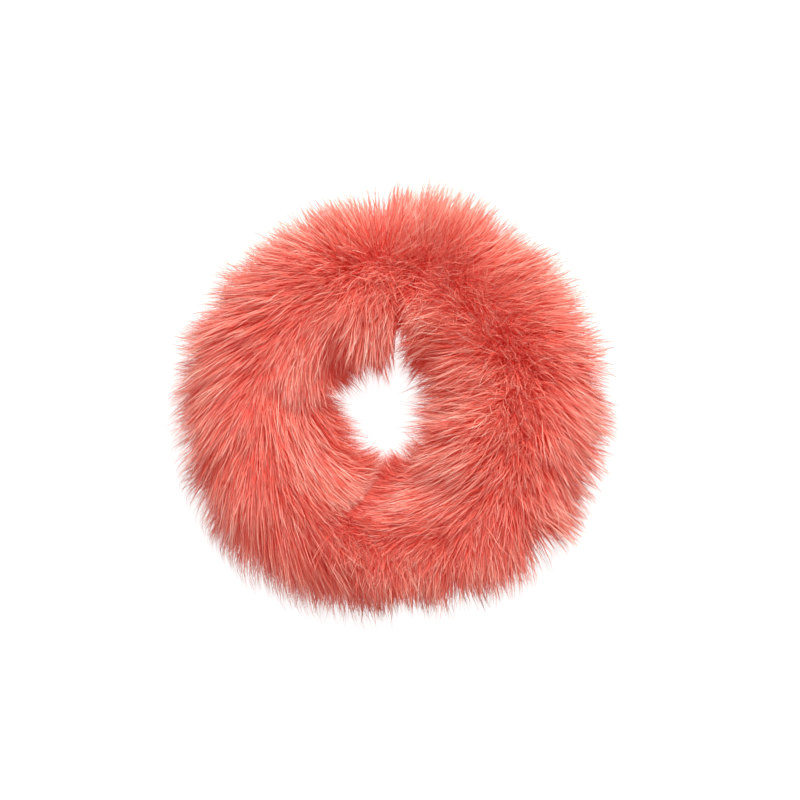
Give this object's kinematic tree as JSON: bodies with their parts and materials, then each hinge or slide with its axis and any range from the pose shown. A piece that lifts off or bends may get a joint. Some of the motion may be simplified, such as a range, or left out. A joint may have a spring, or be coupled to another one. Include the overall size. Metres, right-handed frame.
{
  "type": "elastic faux-fur headband",
  "caption": "Fluffy faux-fur headband: a gathered fur sleeve round a loop of flat elastic, relaxed to a thick ring that stretches over the head.",
  "frame": {"origin": "on the resting plane, under the centre of the ring", "axes": "+Z along the ring's axis, upward as it lies flat; +Y from the centre towards the closing seam; +X to its right"},
  "size_m": [0.202, 0.202, 0.07],
  "materials": {
    "fur": "long acrylic pile, soft satin sheen",
    "backing": "knitted cloth, matt",
    "elastic": "braided elastic, matt",
    "thread": "spun polyester thread"
  },
  "bodies": {
    "section_01": {"fur_pile_01": "fur", "fabric_sleeve_01": "backing", "elastic_band_01": "elastic", "seam_stitches_01": "thread"},
    "section_02": {"fur_pile_02": "fur", "fabric_sleeve_02": "backing", "elastic_band_02": "elastic", "seam_stitches_02": "thread"},
    "section_03": {"fur_pile_03": "fur", "fabric_sleeve_03": "backing", "elastic_band_03": "elastic", "seam_stitches_03": "thread"},
    "section_04": {"fur_pile_04": "fur", "fabric_sleeve_04": "backing", "elastic_band_04": "elastic", "seam_stitches_04": "thread"},
    "section_05": {"fur_pile_05": "fur", "fabric_sleeve_05": "backing", "elastic_band_05": "elastic", "seam_stitches_05": "thread"},
    "section_06": {"fur_pile_06": "fur", "fabric_sleeve_06": "backing", "elastic_band_06": "elastic", "seam_stitches_06": "thread"},
    "section_07": {"fur_pile_07": "fur", "fabric_sleeve_07": "backing", "elastic_band_07": "elastic", "seam_stitches_07": "thread"},
    "section_08": {"fur_pile_08": "fur", "fabric_sleeve_08": "backing", "elastic_band_08": "elastic", "seam_stitches_08": "thread"},
    "section_09": {"fur_pile_09": "fur", "fabric_sleeve_09": "backing", "elastic_band_09": "elastic", "seam_stitches_09": "thread"},
    "section_10": {"fur_pile_10": "fur", "fabric_sleeve_10": "backing", "elastic_band_10": "elastic", "seam_stitches_10": "thread"},
    "section_11": {"fur_pile_11": "fur", "fabric_sleeve_11": "backing", "elastic_band_11": "elastic", "seam_stitches_11": "thread"},
    "section_12": {"fur_pile_12": "fur", "fabric_sleeve_12": "backing", "elastic_band_12": "elastic", "seam_stitches_12": "thread", "elastic_overlap": "elastic", "elastic_join_stitches": "thread", "closing_seam_stitches": "thread"}
  },
  "joints": [
    {"name": "elastic_stretch", "type": "slide", "parent": "section_07", "child": "section_08", "axis": [0.866, 0.5, 0], "range_m": [0, 0.0197], "stiffness_N_per_m": 320},
    {"name": "stretch_08_09", "type": "slide", "parent": "section_08", "child": "section_09", "axis": [0.5, 0.866, 0], "range_m": [0, 0.0197], "stiffness_N_per_m": 320},
    {"name": "stretch_09_10", "type": "slide", "parent": "section_09", "child": "section_10", "axis": [0, 1, 0], "range_m": [0, 0.0197], "stiffness_N_per_m": 320},
    {"name": "stretch_10_11", "type": "slide", "parent": "section_10", "child": "section_11", "axis": [-0.5, 0.866, 0], "range_m": [0, 0.0197], "stiffness_N_per_m": 320},
    {"name": "stretch_11_12", "type": "slide", "parent": "section_11", "child": "section_12", "axis": [-0.866, 0.5, 0], "range_m": [0, 0.0197], "stiffness_N_per_m": 320},
    {"name": "stretch_07_06", "type": "slide", "parent": "section_07", "child": "section_06", "axis": [-1, 0, 0], "range_m": [0, 0.0197], "stiffness_N_per_m": 320},
    {"name": "stretch_06_05", "type": "slide", "parent": "section_06", "child": "section_05", "axis": [-0.866, 0.5, 0], "range_m": [0, 0.0197], "stiffness_N_per_m": 320},
    {"name": "stretch_05_04", "type": "slide", "parent": "section_05", "child": "section_04", "axis": [-0.5, 0.866, 0], "range_m": [0, 0.0197], "stiffness_N_per_m": 320},
    {"name": "stretch_04_03", "type": "slide", "parent": "section_04", "child": "section_03", "axis": [0, 1, 0], "range_m": [0, 0.0197], "stiffness_N_per_m": 320},
    {"name": "stretch_03_02", "type": "slide", "parent": "section_03", "child": "section_02", "axis": [0.5, 0.866, 0], "range_m": [0, 0.0197], "stiffness_N_per_m": 320},
    {"name": "stretch_02_01", "type": "slide", "parent": "section_02", "child": "section_01", "axis": [0.866, 0.5, 0], "range_m": [0, 0.0197], "stiffness_N_per_m": 320}
  ],
  "couplings": [
    {"joint": "stretch_08_09", "follows": "elastic_stretch", "ratio": 1},
    {"joint": "stretch_09_10", "follows": "elastic_stretch", "ratio": 1},
    {"joint": "stretch_10_11", "follows": "elastic_stretch", "ratio": 1},
    {"joint": "stretch_11_12", "follows": "elastic_stretch", "ratio": 1},
    {"joint": "stretch_07_06", "follows": "elastic_stretch", "ratio": 1},
    {"joint": "stretch_06_05", "follows": "elastic_stretch", "ratio": 1},
    {"joint": "stretch_05_04", "follows": "elastic_stretch", "ratio": 1},
    {"joint": "stretch_04_03", "follows": "elastic_stretch", "ratio": 1},
    {"joint": "stretch_03_02", "follows": "elastic_stretch", "ratio": 1},
    {"joint": "stretch_02_01", "follows": "elastic_stretch", "ratio": 1}
  ]
}
